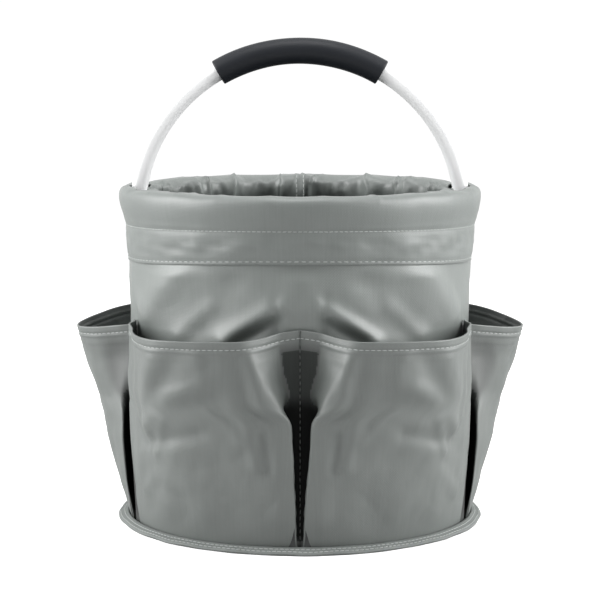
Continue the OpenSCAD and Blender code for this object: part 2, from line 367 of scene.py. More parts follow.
wall_cloth = cloth("grey_oxford_cloth", (0.19, 0.208, 0.198), 0.42)
band_cloth = cloth("grey_band_cloth", (0.173, 0.19, 0.181), 0.42)
# The pockets are the wall's cloth; this darker copy of it is painted shade
pocket_cloth = cloth("grey_pocket_cloth", (0.15, 0.164, 0.156), 0.45)
# Painted shade: a darker copy of the pocket cloth with little gloss, for faces deep in the pleats
shaded_pleat_cloth = cloth("cloth_inside_pleats", (0.142, 0.155, 0.148), 0.6, gloss=0.12)
# Much darker than the face of the cloth
cloth_back = cloth("coated_cloth_back", (0.085, 0.093, 0.09), 0.5, streaks=0.08, bump=0.15, patches=0.2)
inside_back = cloth("coated_wall_inside", (0.2, 0.217, 0.21), 0.52, streaks=0.08, bump=0.15, patches=0.15)
lining_cloth = cloth("dark_lining_cloth", (0.055, 0.06, 0.06), 0.6, streaks=0.1, bump=0.25, patches=0.25)
tape_cloth = cloth("grey_seam_tape", (0.165, 0.181, 0.173), 0.66, streaks=0.15, bump=0.4)
print("cloths:", [m.name for m in bpy.data.materials])

# %% Thread
def thread_material(name, low, high):
    """Sewing thread from a dark to a light grey, with its twist in the colour and the bump."""
    material, tree, shader = new_material(name)
    place = add(tree, "ShaderNodeTexCoord").outputs["Object"]
    turned = add(tree, "ShaderNodeMapping", {"Vector": place, "Rotation": (0.6, 0.5, 0.4)})
    twist = add(
        tree, "ShaderNodeTexWave", {"Vector": turned.outputs[0], "Scale": 900.0, "Distortion": 1.0},
        wave_type="BANDS", bands_direction="X",
    ).outputs["Fac"]
    dark, light = (low, low * 1.06, low * 1.03, 1), (high, high * 1.05, high * 1.02, 1)
    colour = add(tree, "ShaderNodeMix", {0: twist, 6: dark, 7: light}, data_type="RGBA")
    tree.links.new(colour.outputs[2], shader.inputs["Base Color"])
    shader.inputs["Roughness"].default_value = 0.5
    raise_surface(tree, shader, twist, 0.4, 0.0001)
    return material


thread = thread_material("light_sewing_thread", 0.4, 0.52)
# Painted shade: a darker copy of the thread for the pockets' side seams, deep in the pleats
shaded_seam_thread = thread_material("grey_sewing_thread", 0.16, 0.24)
print("threads:", thread.name, shaded_seam_thread.name)

# %% [markdown]
# ## How a piece of cloth is made
# Every cloth piece here is a grid: rows of points up the cloth, columns across it. A grid keeps the yarn directions,
# so its UV map is simply the distance along the rows and columns. A cloth gets its thickness from Solidify, inwards,
# with the coated back as its second finish.

# %% Grids of points made into cloth
def normals_of(points, closed=False):
    """Unit normals of a grid of points, shaped (rows, columns, 3)."""
    if closed:
        wide = np.concatenate([points[:, -1:], points, points[:, :1]], axis=1)
        across = wide[:, 2:] - wide[:, :-2]
    else:
        across = np.gradient(points, axis=1)
    up = np.gradient(points, axis=0)
    normal = np.cross(across, up)
    return normal / np.maximum(np.linalg.norm(normal, axis=-1, keepdims=True), 1e-9)


def cloth_mesh(name, points, materials, thickness=CLOTH_T, closed=False):
    """A piece of cloth from a grid of points in millimetres, with its UV map in metres along the yarns."""
    rows, columns, _ = points.shape
    flat = points.reshape(-1, 3) / 1000
    last = columns if closed else columns - 1
    j, i = np.meshgrid(np.arange(rows - 1), np.arange(last), indexing="ij")
    k = (i + 1) % columns
    quads = np.stack([j * columns + i, j * columns + k, (j + 1) * columns + k, (j + 1) * columns + i], axis=-1)
    mesh = bpy.data.meshes.new(name)
    mesh.from_pydata(flat.tolist(), [], quads.reshape(-1, 4).tolist())
    wrap = np.concatenate([points, points[:, :1]], axis=1) if closed else points
    run = np.linalg.norm(np.diff(wrap, axis=1), axis=2).mean(axis=0)
    u = np.concatenate([[0], np.cumsum(run)]) / 1000
    rise = np.linalg.norm(np.diff(points, axis=0), axis=2).mean(axis=1)
    v = np.concatenate([[0], np.cumsum(rise)]) / 1000
    corner_u = np.stack([u[i], u[i + 1], u[i + 1], u[i]], axis=-1)
    corner_v = np.stack([v[j], v[j], v[j + 1], v[j + 1]], axis=-1)
    layer = mesh.uv_layers.new(name="cloth")
    layer.data.foreach_set("uv", np.stack([corner_u, corner_v], axis=-1).reshape(-1).astype(np.float32))
    for material in materials:
        mesh.materials.append(material)
    mesh.shade_smooth()
    mesh.update()
    piece = put(name, mesh)
    if thickness:
        thick = piece.modifiers.new("thickness", "SOLIDIFY")
        thick.thickness = thickness / 1000
        thick.offset = -1
        thick.use_rim = True
        thick.material_offset = 1 if len(materials) > 1 else 0
        thick.material_offset_rim = 0
    return piece


def paint_fold_shade(piece, inside):
    """Stores for each point how far it lies inside a fold, which darkens its colour as painted shade."""
    mark = piece.data.attributes.new("in_fold", "FLOAT", "POINT")
    mark.data.foreach_set("value", inside.astype(np.float32).reshape(-1))


def weld(piece, distance=2e-6, outwards=True):
    """Welds points that lie on each other and, if asked, turns every face outwards."""
    work = bmesh.new()
    work.from_mesh(piece.data)
    bmesh.ops.remove_doubles(work, verts=work.verts, dist=distance)
    if outwards:
        bmesh.ops.recalc_face_normals(work, faces=work.faces)
    work.to_mesh(piece.data)
    work.free()

# %% [markdown]
# ## Folds
# Soft cloth that is held at its seams and free between them falls into folds: ridges and creases a few millimetres
# high that run from where it is held. A fold here is one stroke on the cloth: two ends, a width and a height.
# A cloth gets a short list of strokes where its seams pull, plus a little slow unevenness.

# %% Strokes and unevenness
def fold_field(u, v, strokes):
    """Height of all strokes at cloth positions u, v; a stroke is (u0, v0, u1, v1, width, height[, far width])."""
    total = np.zeros(np.broadcast(u, v).shape)
    for u0, v0, u1, v1, width, height, *far in strokes:
        length = math.hypot(u1 - u0, v1 - v0)
        along = ((u - u0) * (u1 - u0) + (v - v0) * (v1 - v0)) / length
        side = ((u - u0) * (v1 - v0) - (v - v0) * (u1 - u0)) / length
        spread = np.where(side > 0, far[0] if far else width, width)
        past = np.maximum(0, np.maximum(-along, along - length))
        total += height * bell(past, 1.2 * width) * bell(side, spread)
    return total


def unevenness(u, v, size, seed, octaves=3):
    """Slow random relief about one high, the same for the same seed."""
    dice = np.random.default_rng(seed)
    total = np.zeros(np.broadcast(u, v).shape)
    for octave in range(octaves):
        for _ in range(5):
            turn = dice.uniform(0, 2 * math.pi)
            phase = dice.uniform(0, 2 * math.pi)
            wave = 2 * math.pi * (1.7 ** octave) / size * dice.uniform(0.6, 1.3)
            total += np.sin(wave * (u * math.cos(turn) + v * math.sin(turn)) + phase) / (5 * 1.6 ** octave)
    return total

# %% [markdown]
# ## The wall
# The wall is one strip of cloth rolled into a tube and sewn up at the back. It hangs between the stiff base and the
# hoop, so it is round at both ends and loose between them. The pockets' seams pull it in at the front, and the slack
# falls into slanting folds above their lips. It is a grid whose radius is the smooth tube plus those folds.

# %% The wall's cloth
def mirrored(strokes):
    """The same strokes on both sides of the front seam."""
    return strokes + [(-s[0], s[1], -s[2], s[3], *s[4:]) for s in strokes]


turn = np.arange(-180, 180, 0.75)    # the columns of every ring of cloth, in degrees from the front
arc = np.radians(turn) * WALL_R      # the same in millimetres of cloth
wall_strokes = mirrored([
    (-84, 184, -124, 149, 11, 2.6, 15),      # soft ridge from under the band to the pocket's corner
    (-14, 160, -50, 137, 5.5, 2.6, 7.5),     # slanting fold above the lip
    (-20, 149, -40, 137, 4.0, -1.8),         # the hollow under it
    (-46, 172, -76, 146, 12, -1.6),
    (-62, 158, -88, 138, 7, 1.2),
    (-15, 164, -14, 142, 4.0, -1.1),
]) + [(0, 172, 0, 146, 12, 2.2)]


def wall_points():
    """The wall's outer face: the smooth tube, its folds, and flat where the pockets' seams hold it."""
    z = np.concatenate([np.linspace(1.6, 100, 16, endpoint=False), np.linspace(100, 206, 62)])[:, None]
    front = ease(-np.abs(turn), -100, -60)
    loose = hump(z, 8, 60, 176, 187)
    slack = front * 1.3 * fold_field(arc, z, wall_strokes)
    slack = slack + 0.7 * np.abs(unevenness(arc, z, 90, 61)) * ease(-z, -176, -166)
    slack = slack + (0.55 - 0.2 * front) * unevenness(arc, z * 0.7, 95, 5)
    billows = np.abs(unevenness(arc * 1.1 + 0.35 * z, z * 0.25, 110, 9))
    slack = slack + (1 - front) * 1.5 * billows * ease(z, 120, 150)
    half = POCKET_STEP / 2
    from_seam = np.radians(np.abs((turn + half) % POCKET_STEP - half)) * WALL_R
    held = bell(from_seam, 10) * (1 - ease(z, 142, 160))
    slack = slack * (1 - held) - 0.2 * held
    return around(turn, wall_radius(z) + loose * slack, z)


wall = cloth_mesh("wall", wall_points(), [wall_cloth, inside_back], closed=True)
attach(wall, "bag")
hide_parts("body_wall")
print("wall:", len(wall.data.polygons), "faces")

# %% [markdown]
# ## The rim band
# A second strip is folded over the rim. One row of stitches closes it into a loose channel round the hoop, and a
# lower row holds its edge to the wall. Outside it is pulled smooth over the hoop. Inside, the same length of cloth
# has to go round a smaller circle, so it gathers into pinched folds. Two slots in its top let the handle out.
# Its section is drawn once, from the outer edge over the rim and down the inside, and carried round in a circle.

# %% The rows of stitches, which are lower at the sides
def upper_row(angle):
    return 204.6 + 3.9 * np.cos(np.radians(angle)) ** 2


def lower_row(angle):
    return 182.3 + 7.0 * np.cos(np.radians(angle)) ** 2


band_section = np.array([    # the channel's section: radius and height
    (121.9, 211.5), (123.3, 216), (124.2, 220), (124.6, 223.5), (124.3, 227), (123.0, 229.3), (120.8, 230.5),
    (118.4, 230.8), (115, 230.7), (110, 230.3), (106, 229.9), (103.2, 228.9), (101.5, 226.5), (100.9, 223),
    (101.2, 219), (102.8, 214.5), (106, 210.5), (110.5, 207.8), (114.6, 206.0),
])
# Where the inner side is pinched into ridges: degrees from the back seam
PINCHES = [-1.6, 1.6, 7.5, 25.5, 41, 47.5, 67, 79, 95, 110, 126, 139, 155, 171, 183]
WIDE_GAP = 18    # the gap beside the back seam, where the cloth sags most


def gathers(angle):
    """Relief of the gathered inner cloth: sharp ridges at the pinches, the cloth sagging between them, and how deep it
    sags, for painted shade.
    """
    from_back = np.abs((angle + 360) % 360 - 180)
    place = np.interp(from_back, PINCHES, np.arange(len(PINCHES)))
    gap = np.diff(PINCHES)[np.minimum(place.astype(int), len(PINCHES) - 2)]
    part = (place % 1) ** np.where(place.astype(int) % 2, 1.7, 0.6)
    sag = np.where(gap == WIDE_GAP, 7.0, 1.5 + 0.26 * gap) * (4 * part * (1 - part)) ** 0.6
    lean = 0.8 * np.sin(np.radians(from_back * 3.1 + 40))
    return 2.4 + lean - sag, np.clip(sag / 5.5, 0, 1)


print(f"{len(PINCHES) - 1} gathers on each side of the back seam")

# %% The band's smooth shape
FOLD_Z = 211.5        # where the band leaves the wall and goes out round the hoop
SEWN_Z = 205.6        # where its inner side comes back to the wall
CHANNEL_STEP = 1.45   # distance between rows round the channel
FACE_Z, FACE_R = [180, 188, 195, 206, FOLD_Z], [118.7, 119.0, 119.4, 120.7, 121.9]
INSIDE_Z, INSIDE_R = [180, 190, 200, SEWN_Z], [115.0, 115.3, 115.7, 115.4]


def band_rows():
    """The smooth band, row by row: up the outside, over the hoop, and down the inside to its sewn edge."""
    low, up = lower_row(turn), upper_row(turn)
    rows = []
    for bottom, top, count in ((low - 2.0, up, 19), (up, FOLD_Z, 5)):
        for s in np.linspace(0, 1, count)[:-1]:
            z = bottom * (1 - s) + top * s
            rows.append(around(turn, np.interp(z, FACE_Z, FACE_R), z))
    ring = resampled(band_section, np.arange(0, length_along(band_section)[-1], CHANNEL_STEP))
    for _ in range(3):
        ring[1:-1] = (ring[:-2] + 2 * ring[1:-1] + ring[2:]) / 4
    channel_start = len(rows)
    rows += [around(turn, r, z) for r, z in ring]
    channel_end = len(rows)
    for s in np.linspace(0, 1, 10)[1:]:
        z = SEWN_Z * (1 - s) + (low - 3.0) * s
        rows.append(around(turn, np.interp(z, INSIDE_Z, INSIDE_R), z))
    return np.array(rows), channel_start, channel_end

# %% [markdown]
# ## The band's gathers
# Cloth that has to fit a smaller circle pinches up into short sharp ridges and sags between them. A plain wave would
# look like corrugated sheet, so the ridges stand at uneven places from a list, lean a little as they go down, and
# the cloth between two of them sags more the further apart they are. The relief is laid on the smooth band along its
# normals, and the deepest hollows get painted shade through the fold mark.

# %% The band's relief
def band_points():
    """The band's outer face with its relief, the row where the channel starts, and the painted shade of its hollows."""
    points, channel_start, channel_end = band_rows()
    low, up = lower_row(turn), upper_row(turn)
    height = points[:, :, 2]
    reach = np.arange(len(points))[:, None]
    on_face, on_ring = reach < channel_start, reach < channel_end
    run = (channel_end - channel_start - 1) * CHANNEL_STEP
    d = np.interp(reach, [channel_start, channel_end - 1], [0, run])
    v = np.interp(reach, [0, len(points)], [0, 125])
    # the gathers inside, which begin further in at the front than at the back
    late = 7 * (1 - ease(-np.cos(np.radians(turn)), -0.2, 0.6))
    inner = hump(d, 25 + late, 38 + late, run - 7, run + 1) * on_ring
    slant = 4.2 * np.sin(np.radians(turn * 5.3 + 30)) * np.clip((d - 27) / 20, 0, 1)
    relief, hollow = gathers(turn + slant)
    creases = 1.6 * np.abs(unevenness(arc, reach * 0.9, 30, 31)) - 0.6
    top = hump(d, 10, 22, 30, 40) * on_ring
    lift = inner * (relief - creases) + top * 0.12 * gathers(turn + 1.0)[0]
    # the outside, drawn smooth over the hoop with fine upright ribs
    lift = lift + (1 - ease(d, 0, 12)) * 0.3 * unevenness(arc, v, 60, 21)
    ribs = np.sin(arc * 2 * math.pi / 3.4 + 1.5 * np.sin(arc / 9)) * (0.6 + 0.4 * np.sin(arc / 13 + 1))
    outside = np.where(on_face, 1.0, 1 - ease(d, 8, 20))
    lift = lift + 0.07 * outside * ribs * (0.5 + 0.5 * np.cos(np.radians(turn)))
    # the edge dips at the ends of each slot and stands up behind it
    slot_ends = bell(np.abs(np.abs(turn) - 90) - 22.5, 4.5)
    lift = lift - 1.8 * slot_ends * (hump(d, 14, 22, 30, 38) * on_ring)
    behind_slot = bell(np.abs(turn) - 106, 8)
    lift = lift + 2.0 * behind_slot * (hump(d, 36, 40, 41, 47) * on_ring)
    # the stitches pull two rows in, and the cloth stands up between them
    stitched = bell(height - up, 1.6) + bell(height - low, 1.6)
    lift = lift - 0.55 * stitched * on_face
    middle = bell(height - (up + low) / 2, 7.5) * on_face
    lift = lift + middle * (0.5 + 0.75 * unevenness(arc, v * 1.6, 42, 4))
    lift = lift + outside * 0.35 * unevenness(arc, v * 0.7, 70, 17)
    normal = normals_of(points, closed=True)
    # The deepest sags get painted shade: a darker colour through the fold mark
    return points + normal * lift[..., None], channel_start, 0.15 * inner * hollow ** 2


band_grid, channel_start, band_hollow_shade = band_points()
band = cloth_mesh("rim_band_cloth", band_grid, [band_cloth, inside_back], closed=True)
# Painted shade in the band's deepest hollows
paint_fold_shade(band, band_hollow_shade)
print("band:", len(band.data.polygons), "faces,", len(band_grid), "rows")

# %% [markdown]
# ## The handle's slots
# Each leg of the handle comes up through a slot and swings along it. A Boolean would leave ragged faces in thin
# cloth, and the band is already a fine grid, so the slots are made by taking whole faces out of it.

# %% The handle's slots, cut through the top of the channel
SLOT = 20.5        # degrees that a slot reaches each way from the leg that stands in it
SLOT_ABOVE = 222.0


def cut_slots(piece):
    """Takes out the faces of the channel's top where the handle's legs come out and swing."""
    grid = np.array([v.co for v in piece.data.vertices]) * 1000
    gone = []
    for face in piece.data.polygons:
        x, y, z = grid[list(face.vertices)].mean(axis=0)
        radius = math.hypot(x, y)
        angle = abs(math.degrees(math.atan2(y, abs(x))))
        inner, outer = 104.4 - 1.2 * ease(angle, 3, 16), 116.6 - 1.2 * ease(angle, 6, 20)
        on_top = z > SLOT_ABOVE and face.index // len(turn) > channel_start
        if angle < SLOT and inner < radius < outer and on_top:
            gone.append(face.index)
    work = bmesh.new()
    work.from_mesh(piece.data)
    work.faces.ensure_lookup_table()
    bmesh.ops.delete(work, geom=[work.faces[i] for i in gone], context="FACES")
    work.to_mesh(piece.data)
    work.free()
    return len(gone)


print("slot faces cut:", cut_slots(band))
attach(band, "bag")
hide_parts("rim_band")

# %% [markdown]
# ## The base
# The bottom is a disc of the same cloth with a stiff board over it and a dark lining over the board. Wall, pockets
# and bottom meet in one seam all round, and a tape folded over that seam makes the brim that the bucket stands on.
# The discs are grids in polar form, closed at their middle. The brim's section is a folded tape, nearly flat.

# %% Discs of cloth for the lining and the underside
def disc_points(radius, z, relief, seed, rings=26, columns=120, dish=0.0):
    """Rows of points from just round the middle out to the edge, a little uneven."""
    r = radius * np.linspace(0.0, 1.0, rings)[::-1, None] ** 0.9
    a = np.linspace(-180, 180, columns, endpoint=False)
    x, y = r * np.sin(np.radians(a)), -r * np.cos(np.radians(a))
    lift = relief * unevenness(x, y, radius * 0.9, seed) * (1 - (r / radius) ** 6)
    return around(a, r, z + lift + dish * (1 - (r / radius) ** 2))


def disc(name, points, material, facing_up, thickness):
    """A round cloth; the middle ring of the grid is one point, so it is merged."""
    grid = points if facing_up else points[::-1]
    piece = cloth_mesh(name, grid, [material], thickness=None, closed=True)
    uv = piece.data.uv_layers["cloth"].data
    for loop in piece.data.loops:
        co = piece.data.vertices[loop.vertex_index].co
        uv[loop.index].uv = (co.x, co.y)
    weld(piece, 1e-6, outwards=False)
    thick = piece.modifiers.new("thickness", "SOLIDIFY")
    thick.thickness, thick.offset = thickness / 1000, -1
    piece.data.shade_smooth()
    return piece


lining_top = mm_box("base_lining")[1][2]
lining = disc("base_lining_cloth", disc_points(112.6, lining_top, 0.45, 3, dish=0.3), lining_cloth, True, 0.8)
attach(lining, "bag")
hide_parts("base_lining")
print("lining:", len(lining.data.polygons), "faces")

underside = disc("base_panel_cloth", disc_points(119.8, 0.02, 0.0, 8), wall_cloth, False, 1.1)
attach(underside, "bag")
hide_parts("base_panel")

# %% [markdown]
# ## The brim
# The bound seam is a narrow ring with a folded section. Spin would carry the section round perfectly, but sewn tape
# is never perfect, so its points are placed ring by ring with a slow wave in its width and a slight lift.

# %% The brim
def brim_points():
    """The bound seam: out over the top from the pockets' foot, round the fold, and back under."""
    section = [
        (119.9, 4.7), (121.2, 4.1), (122.6, 3.5), (124.0, 3.0), (125.4, 2.5), (126.3, 2.1), (126.9, 1.5), (127.0, 0.9),
        (126.6, 0.35), (125.6, 0.08), (124, 0.03), (122, 0.03), (120.2, 0.03), (119.7, 0.5), (119.6, 2.5), (119.7, 4.2),
    ]
    wave = 0.35 * np.sin(np.radians(turn * 7 + 20)) + 0.25 * np.sin(np.radians(turn * 17 + 60))
    wave = wave + 0.2 * np.sin(np.radians(turn * 31)) - 0.35
    rows = []
    for r, z in section:
        out = np.clip((r - 120) / 7, 0, 1)
        lift = 0.45 * (0.5 + 0.5 * np.sin(np.radians(turn * 23 + 200))) * out * (1 if z > 0.3 else 0)
        rows.append(around(turn, r + wave * out, z + lift))
    return np.array(rows)


brim_grid = brim_points()
brim_ring = np.concatenate([brim_grid, brim_grid[:1]])[::-1]
brim = cloth_mesh("brim_tape", brim_ring, [tape_cloth], thickness=None, closed=True)
weld(brim)
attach(brim, "bag")
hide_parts("base_binding")
print("base: lining, underside and brim made")

# %% [markdown]
# ## The pockets
# Each pocket is a panel cut wider than the stretch of wall that it covers. At the foot the spare width is folded
# into a pleat at each side, so the pocket lies flat there. Towards the lip the pleats open and the panel stands
# out like a bellows. A pocket is drawn as a run of cross-sections: from one seam in to the hidden fold, back out to
# the pleat's edge, across the face, and the same on the other side. Every section has the same length of cloth,
# which is what makes it look sewn and not moulded. Each section also marks how deep every point lies in a pleat.
# That mark darkens the colour there as painted shade, and the faces that are deepest get a darker, duller copy of
# the cloth, which is painted shade too.

# %% Smooth runs and curves
FINE_STEP = 0.4    # millimetres between the points of a run while it is rounded


def smooth_run(points, sigma):
    """Rounds a run of points: it is cut into fine steps and averaged over sigma millimetres."""
    d = length_along(points)
    fine = resampled(points, np.linspace(0, d[-1], int(d[-1] / FINE_STEP)))
    reach = max(1, int(3 * sigma / FINE_STEP))
    kernel = np.exp(-0.5 * (np.arange(-reach, reach + 1) * FINE_STEP / sigma) ** 2)
    kernel /= kernel.sum()
    before = 2 * fine[0] - fine[reach:0:-1]
    after = 2 * fine[-1] - fine[-2:-reach - 2:-1]
    wide = np.concatenate([before, fine, after])
    return np.stack([np.convolve(wide[:, k], kernel, mode="valid") for k in (0, 1)], axis=1)


def through(points):
    """A smooth curve through the given points."""
    ends = np.concatenate([[2 * points[0] - points[1]], points, [2 * points[-1] - points[-2]]])
    s = np.linspace(0, 1, 12, endpoint=False)[:, None]
    out = []
    for i in range(len(points) - 1):
        a, b, c, d = ends[i:i + 4]
        square, cube = 2 * a - 5 * b + 4 * c - d, 3 * b - a - 3 * c + d
        out.append(0.5 * (2 * b + (c - a) * s + square * s ** 2 + cube * s ** 3))
    return np.concatenate([*out, points[-1:]])

# %% The pleats at a pocket's two seams
# A pleat at each height from foot (0) to lip (1): how far its edge is from the seam, how far out from the wall, and,
# where it has opened, the floor of the opening. At the lip the edge is the end of the lip's own shape. "shade" is how
# far the valley beside a side pocket's pleat gets painted shade, in millimetres of cloth from the seam.
TIGHT = {
    "height": [0, 0.2, 0.43, 0.65, 0.8, 1], "s": [1.8, 3.4, 5.4, 7.6, 10.0], "n": [2.6, 4.8, 7.6, 8.8, 9.6],
    "floor_s": [0, 1.0, 2.4, 3.4, 4.5, 5.4], "floor_n": [1.5, 1.6, 2.0, 2.4, 3.0, 3.6], "opens": (0.72, 1.0),
}
VALLEY = {
    "height": [0, 0.2, 0.43, 0.65, 0.85, 1], "s": [2.2, 3.6, 5.6, 8.4, 9.4], "n": [3.5, 8.0, 10.0, 8.5, 6.5],
    "floor_s": [0, 1.0, 1.6, 2.6, 3.2, 3.2], "floor_n": [1.5, 1.6, 2.0, 2.0, 2.0, 2.6], "opens": (0.55, 0.75),
    "shade": [0, 0, 14, 26, 33, 22],
}
OPEN = {
    "height": [0, 0.2, 0.43, 0.64, 0.68, 0.79, 0.92, 1], "s": [0.7, 2.0, 3.2, 4.4, 10.5, 18.5, 24.8],
    "n": [3.0, 9.5, 15.0, 17.5, 18.5, 20.5, 23.0], "floor_s": [0, 0.4, 1.2, 3.4, 6.0, 11.0, 12.6, 13.4],
    "floor_n": [1.5, 1.5, 1.5, 1.8, 2.0, 2.8, 4.4, 6.0], "opens": (0.62, 0.7),
}
OVER = dict(OPEN, s=[0.5, 2.4, 4.6, 6.4, 11.5, 18.5, 24.8])
COLUMNS = 168    # points across a pocket
SEAM_N = 1.25    # how far a pocket's seams stand out from the wall
print("pleats opening at:", {name: pleat["opens"] for name, pleat in (("tight", TIGHT), ("open", OPEN))})

# %% A pocket's cross-section at each height
def pleats_at(t, ends, pleats):
    """At t from foot to lip, each pleat's edge, and the floor of its opening with how far it has opened."""
    edges, floors = [], []
    for end, pleat in zip(ends, pleats):
        edges.append([np.interp(t, pleat["height"], [*pleat[key], last]) for key, last in zip(("s", "n"), end)])
        floor = [np.interp(t, pleat["height"], pleat[key]) for key in ("floor_s", "floor_n")]
        floors.append((np.array(floor), ease(t, *pleat["opens"])))
    return edges, floors


def face_curve(t, span, lip, edges):
    """The open face between the two pleats' edges: the lip's shape, flatter towards the foot."""
    shape = np.array(lip, float)
    part = (shape[:, 0] - shape[0, 0]) / (shape[-1, 0] - shape[0, 0])
    s = edges[0][0] + part * (span - edges[0][0] - edges[1][0])
    n = 3.9 + (shape[:, 1] - 3.9) * (t + 0.07 * math.exp(-(((t - 0.8) / 0.16) ** 2)))
    near = [np.exp(-(np.abs(s - s[k]) / 18) ** 1.5) for k in (0, -1)]
    n = n + near[0] * (edges[0][1] - n[0]) + near[1] * (edges[1][1] - n[-1])
    return through(np.stack([s, n], axis=1))


def section_path(span, curve, floors, width):
    """The whole section, with the hidden fold as deep as uses up the cloth's width."""
    def whole(hidden):
        first, last = [np.array([hidden, 1.7]) * (1 - loose) + floor * loose for floor, loose in floors]
        return np.concatenate([[(0.05, SEAM_N), first], curve, [(span - last[0], last[1]), (span - 0.05, SEAM_N)]])

    low, high = 0.5, 17.0
    for _ in range(24):
        hidden = (low + high) / 2
        if np.hypot(*np.diff(whole(hidden), axis=0).T).sum() < width:
            low = hidden
        else:
            high = hidden
    return whole(hidden)


def pleat_shade_marks(t, real, along, floors, pleats):
    """Painted shade for each point from how deep it lies in the two pleats, from 0 on the face to 1 inside."""
    total = 0
    turned = along[-1] - along[::-1]
    sides = ((real, along), (along[-1] - real, turned))
    for (dist, stops), (_, loose), pleat in zip(sides, floors, pleats):
        reach = stops[2] + (stops[1] + 1.5 - stops[2]) * loose
        mark = 1 - ease(dist, reach - 2.5, reach)
        # The valley beside a side pocket's pleat gets painted shade further out along the cloth
        if "shade" in pleat:
            shade = np.interp(t, pleat["height"], pleat["shade"])
            mark = np.maximum(mark, 0.62 * (1 - ease(dist, 0.65 * shade, shade + 0.1)))
        total = total + mark
    return total


def pocket_section(t, span, lip, pleats, width):
    """One cross-section: distance along the wall, distance out from it, and depth in a fold."""
    edges, floors = pleats_at(t, [lip[0], (span - lip[-1][0], lip[-1][1])], pleats)
    path = section_path(span, face_curve(t, span, lip, edges), floors, width)
    along = length_along(path)
    run = smooth_run(path, 0.8 + 1.0 * ease(t, 0.55, 1.0))
    at = np.linspace(0, length_along(run)[-1], COLUMNS)
    real = at * along[-1] / at[-1]
    return np.column_stack([resampled(run, at), pleat_shade_marks(t, real, along, floors, pleats)])

# %% One pocket's cloth
HEM = 8.5           # depth of the folded hem at the lip
LIP_STITCH = 4.9    # how far below the lip its stitches run
FOOT_Z = 1.9
# Faces whose marks add up past this lie deep in a pleat and get the darker, duller cloth as painted shade
PLEAT_SHADE_LIMIT = 2.6          # a face whose four corners' marks add up to more lies inside a pleat


def pocket_points(seam, lip, pleats, droop, width, strokes, seed):
    """A pocket's outer face from foot to lip, and its painted pleat shade; seam is the angle that it starts from."""
    steps = np.concatenate([np.linspace(0, 0.9, 66, endpoint=False), np.linspace(0.9, 1, 20)])
    span = math.radians(POCKET_STEP) * SEAM_R
    lip = [(math.radians(a) * SEAM_R, n) for a, n in lip]
    sections = np.array([pocket_section(t, span, lip, pleats, width) for t in steps])
    for _ in range(5):
        sections[1:-1] = (sections[:-2] + 2 * sections[1:-1] + sections[2:]) / 4
    s, n = sections[..., 0], sections[..., 1]
    q = np.linspace(0, 1, COLUMNS)
    lip_z = np.interp(q, *droop)
    lip_z = np.convolve(np.pad(lip_z, 12, mode="edge"), np.ones(25) / 25, mode="valid")
    z = FOOT_Z + steps[:, None] * (lip_z - FOOT_Z)
    angle = seam + POCKET_STEP * s / span
    points = around(angle, wall_radius(z) + n, z)
    normal = normals_of(points)
    below = (1 - steps[:, None]) * 140
    free = hump(q, 0.09, 0.2, 0.8, 0.91) * ease(steps, 0.02, 0.2)[:, None]
    u = q * width
    crumple = 0.3 * unevenness(u, z, 70, seed) + 0.09 * unevenness(u, z, 22, seed + 50)
    crumple = crumple + 1.1 * np.abs(unevenness(u, z, 85, seed + 9)) + 0.4 * np.abs(unevenness(u, z, 40, seed + 12))
    lift = free * (1.6 * fold_field(u, z, strokes) + crumple)
    lift = lift * (1 - 0.55 * np.exp(-below / 9))
    hem = (1 - ease(below, HEM - 1.0, HEM)) * 0.45 - 0.5 * bell(below - LIP_STITCH, 0.8)
    hem = hem * (0.35 + 0.65 * hump(q, 0.03, 0.1, 0.9, 0.97))
    # Painted shade in the pleats, weaker towards the lip and at the foot
    inside = sections[..., 2] * (1 - 0.3 * ease(steps, 0.64, 0.72) - 0.6 * ease(steps, 0.9, 0.96))[:, None]
    inside = inside * (0.3 + 0.7 * ease(steps, 0.0, 0.07))[:, None]
    return points + normal * (lift + hem)[..., None], inside

# %% [markdown]
# ## The five pockets
# The left and right pockets are mirror images in their cut but not in their folds, so a right-hand pocket is drawn
# from the left one's lip, droop and strokes turned round, with a random seed of its own.

# %% The five pockets
# The front pockets lean towards the middle seam, the side pockets towards the front. Each shape is a list of
# degrees from the pocket's first seam and millimetres out from the wall, at the lip.
front_lip = [
    (5.8, 9.0), (14.2, 14.8), (22.2, 25.9), (30, 34.2), (37.3, 35.2), (45.4, 32.6), (52.6, 29.5), (56, 27), (58.2, 23.5),
]
side_lip = [
    (11, 13.0), (18, 23.0), (25, 33.0), (36, 37.0), (46, 38.0), (53, 38.3), (57.5, 36.0), (61.6, 26.0), (65.4, 16.0),
    (68.4, 9.5),
]
back_lip = [(13, 20.0), (22, 30.0), (31, 35.0), (41, 35.0), (50, 30.0), (59, 20.0)]
front_strokes = [
    (88, 126, 66, 80, 10, 1.5), (102, 126, 88, 92, 8, -1.1), (112, 108, 66, 80, 7, 1.3), (106, 78, 60, 66, 5, -1.1),
    (84, 84, 72, 62, 4, 0.8), (137, 86, 141, 60, 4.5, 1.0), (145, 78, 149, 58, 3.5, -1.2), (151, 60, 160, 22, 8, 1.0),
    (150, 128, 158, 96, 5, 0.9), (142, 128, 152, 92, 6, -1.0), (130, 100, 104, 96, 7, -0.9), (40, 120, 44, 40, 9, 1.0),
    (84, 60, 74, 18, 10, 0.9), (116, 58, 128, 20, 12, -0.8), (118, 128, 122, 112, 6, 0.7), (58, 112, 50, 84, 5, 0.8),
    (34, 96, 52, 70, 6, -0.8), (96, 40, 108, 22, 6, 0.6), (122, 92, 132, 76, 4, 0.6), (70, 46, 50, 30, 6, 0.6),
]
